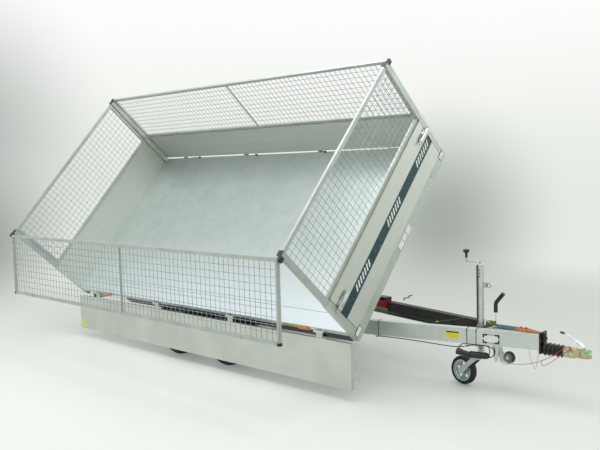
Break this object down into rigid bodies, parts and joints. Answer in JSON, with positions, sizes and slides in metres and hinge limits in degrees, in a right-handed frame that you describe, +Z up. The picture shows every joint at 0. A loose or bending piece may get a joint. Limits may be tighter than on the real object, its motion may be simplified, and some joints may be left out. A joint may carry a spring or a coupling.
{
  "type": "tipping trailer",
  "caption": "Tandem-axle tipping trailer with drop-sides and mesh side panels, its bed tipped to the right by an underfloor cylinder.",
  "frame": {"origin": "centre of the coupling ball, in the coupling head's socket, 365 mm above the ground", "axes": "+X forward towards the towing vehicle, +Y to the trailer's left, +Z up"},
  "size_m": [4.969, 2.3067, 2.4452],
  "materials": {
    "galvanised_steel": "hot-dip galvanised",
    "anodised_aluminium": "satin anodised",
    "zinc_plated": "zinc plated",
    "tyre_rubber": "matt",
    "black_rubber": "matt",
    "black_plastic": "moulded",
    "amber_lens": "clear moulded",
    "red_lens": "clear moulded",
    "cast_coupling": "yellow zinc",
    "chrome_rod": "hard chrome",
    "painted_cylinder": "black paint",
    "red_plastic": "moulded",
    "cable_sheath": "PVC sheath",
    "red_sheath": "PVC coated wire rope"
  },
  "bodies": {
    "chassis": {"bellows": "black_rubber", "brake_rod": "zinc_plated", "breakaway_cable": "red_sheath", "breakaway_clip": "zinc_plated", "bump_stops": "black_rubber", "chassis_rails": "galvanised_steel", "coupling_handle": "zinc_plated", "coupling_head": "cast_coupling", "crossmembers": "galvanised_steel", "cylinder_gimbal": "galvanised_steel", "drawbar_beam_left": "galvanised_steel", "drawbar_beam_right": "galvanised_steel", "drawbar_head": "galvanised_steel", "front_axle": "galvanised_steel", "handbrake": "zinc_plated", "hose_cover": "black_plastic", "isolator": "red_plastic", "jockey_clamp": "zinc_plated", "jockey_mast": "zinc_plated", "lead_cable": "cable_sheath", "lead_plug": "black_plastic", "overrun_flange": "painted_cylinder", "pack_cradle": "galvanised_steel", "pivot_stands": "galvanised_steel", "power_pack": "black_plastic", "rear_axle": "galvanised_steel", "rear_lamp_bar": "galvanised_steel", "rear_lamps": "red_lens", "support_leg": "galvanised_steel"},
    "bed": {"bed_floor": "galvanised_steel", "bed_frame": "galvanised_steel", "corner_posts": "anodised_aluminium", "front_mesh": "galvanised_steel", "mesh_uprights": "galvanised_steel", "mesh_caps": "black_plastic", "side_hinges": "zinc_plated", "board_hinges": "zinc_plated", "side_lamps": "amber_lens"},
    "near_side": {"near_side": "anodised_aluminium"},
    "far_side": {"far_side": "anodised_aluminium"},
    "front_board": {"front_board": "anodised_aluminium"},
    "rear_board": {"rear_board": "anodised_aluminium"},
    "near_mesh": {"near_mesh": "galvanised_steel"},
    "far_mesh": {"far_mesh": "galvanised_steel"},
    "rear_mesh": {"rear_mesh": "galvanised_steel"},
    "jack": {"jockey_tube": "zinc_plated"},
    "caster": {"jockey_fork": "zinc_plated"},
    "jockey_wheel": {"jockey_wheel": "black_rubber"},
    "barrel": {"cylinder_barrel": "painted_cylinder"},
    "stage_1": {"cylinder_stage_1": "chrome_rod"},
    "stage_2": {"cylinder_stage_2": "chrome_rod"},
    "stage_3": {"cylinder_stage_3": "chrome_rod"},
    "wheel_front_right": {"tyre_front_right": "tyre_rubber", "rim_front_right": "galvanised_steel"},
    "wheel_front_left": {"tyre_front_left": "tyre_rubber", "rim_front_left": "galvanised_steel"},
    "wheel_rear_right": {"tyre_rear_right": "tyre_rubber", "rim_rear_right": "galvanised_steel"},
    "wheel_rear_left": {"tyre_rear_left": "tyre_rubber", "rim_rear_left": "galvanised_steel"}
  },
  "joints": [
    {"name": "bed_tip", "type": "hinge", "parent": "chassis", "child": "bed", "pos_m": [-3.1, -0.6275, 0.267], "axis": [1, 0, 0], "range_deg": [-48, 0]},
    {"name": "near_side_swing", "type": "hinge", "parent": "bed", "child": "near_side", "pos_m": [-3.1, -0.84257, 0.10137], "axis": [1, 0, 0], "range_deg": [-132, 0]},
    {"name": "near_mesh_swing", "type": "hinge", "parent": "bed", "child": "near_mesh", "pos_m": [-3.1, -1.5396, 0.72831], "axis": [-1, 0, 0], "range_deg": [-48, 42]},
    {"name": "far_side_swing", "type": "hinge", "parent": "bed", "child": "far_side", "pos_m": [-3.1, 0.3545, 1.43085], "axis": [-1, 0, 0], "range_deg": [0, 180]},
    {"name": "far_mesh_swing", "type": "hinge", "parent": "bed", "child": "far_mesh", "pos_m": [-3.1, -0.34186, 2.05854], "axis": [1, 0, 0], "range_deg": [0, 90]},
    {"name": "front_board_fold", "type": "hinge", "parent": "bed", "child": "front_board", "pos_m": [-1.3125, -0.25815, 0.77882], "axis": [0, 0.6691, 0.7431], "range_deg": [0, 90]},
    {"name": "rear_board_fold", "type": "hinge", "parent": "bed", "child": "rear_board", "pos_m": [-4.914, -0.25221, 0.77347], "axis": [0, -0.6691, -0.7431], "range_deg": [0, 180]},
    {"name": "rear_mesh_swing", "type": "hinge", "parent": "bed", "child": "rear_mesh", "pos_m": [-4.875, -0.93888, 1.39175], "axis": [0, 0.6691, 0.7431], "range_deg": [0, 90]},
    {"name": "front_right_wheel_spin", "type": "hinge", "parent": "chassis", "child": "wheel_front_right", "pos_m": [-2.8, -0.6475, -0.1025], "axis": [0, 1, 0], "continuous": true},
    {"name": "front_left_wheel_spin", "type": "hinge", "parent": "chassis", "child": "wheel_front_left", "pos_m": [-2.8, 0.6475, -0.1025], "axis": [0, 1, 0], "continuous": true},
    {"name": "rear_right_wheel_spin", "type": "hinge", "parent": "chassis", "child": "wheel_rear_right", "pos_m": [-3.46, -0.6475, -0.1025], "axis": [0, 1, 0], "continuous": true},
    {"name": "rear_left_wheel_spin", "type": "hinge", "parent": "chassis", "child": "wheel_rear_left", "pos_m": [-3.46, 0.6475, -0.1025], "axis": [0, 1, 0], "continuous": true},
    {"name": "jockey_jack", "type": "slide", "parent": "chassis", "child": "jack", "axis": [0, 0, -1], "range_m": [-0.011, 0.15]},
    {"name": "caster_swivel", "type": "hinge", "parent": "jack", "child": "caster", "pos_m": [-0.772, 0, -0.15], "axis": [0, 0, 1], "continuous": true},
    {"name": "jockey_wheel_spin", "type": "hinge", "parent": "caster", "child": "jockey_wheel", "pos_m": [-0.93497, 0.02581, -0.257], "axis": [0.1564, 0.9877, 0], "continuous": true},
    {"name": "cylinder_lean", "type": "hinge", "parent": "chassis", "child": "barrel", "pos_m": [-3.1, 0, 0.115], "axis": [1, 0, 0], "range_deg": [-18.21, 0]},
    {"name": "stage_1_slide", "type": "slide", "parent": "barrel", "child": "stage_1", "axis": [0, -0.3125, 0.9499], "range_m": [-0.16711, 0]},
    {"name": "stage_2_slide", "type": "slide", "parent": "stage_1", "child": "stage_2", "axis": [0, -0.3125, 0.9499], "range_m": [-0.16711, 0]},
    {"name": "stage_3_slide", "type": "slide", "parent": "stage_2", "child": "stage_3", "axis": [0, -0.3125, 0.9499], "range_m": [-0.16711, 0]}
  ],
  "couplings": [
    {"joint": "cylinder_lean", "follows": "bed_tip", "ratio": 0.37942},
    {"joint": "stage_1_slide", "follows": "bed_tip", "m_per_rad": 0.19946},
    {"joint": "stage_2_slide", "follows": "bed_tip", "m_per_rad": 0.19946},
    {"joint": "stage_3_slide", "follows": "bed_tip", "m_per_rad": 0.19946}
  ]
}
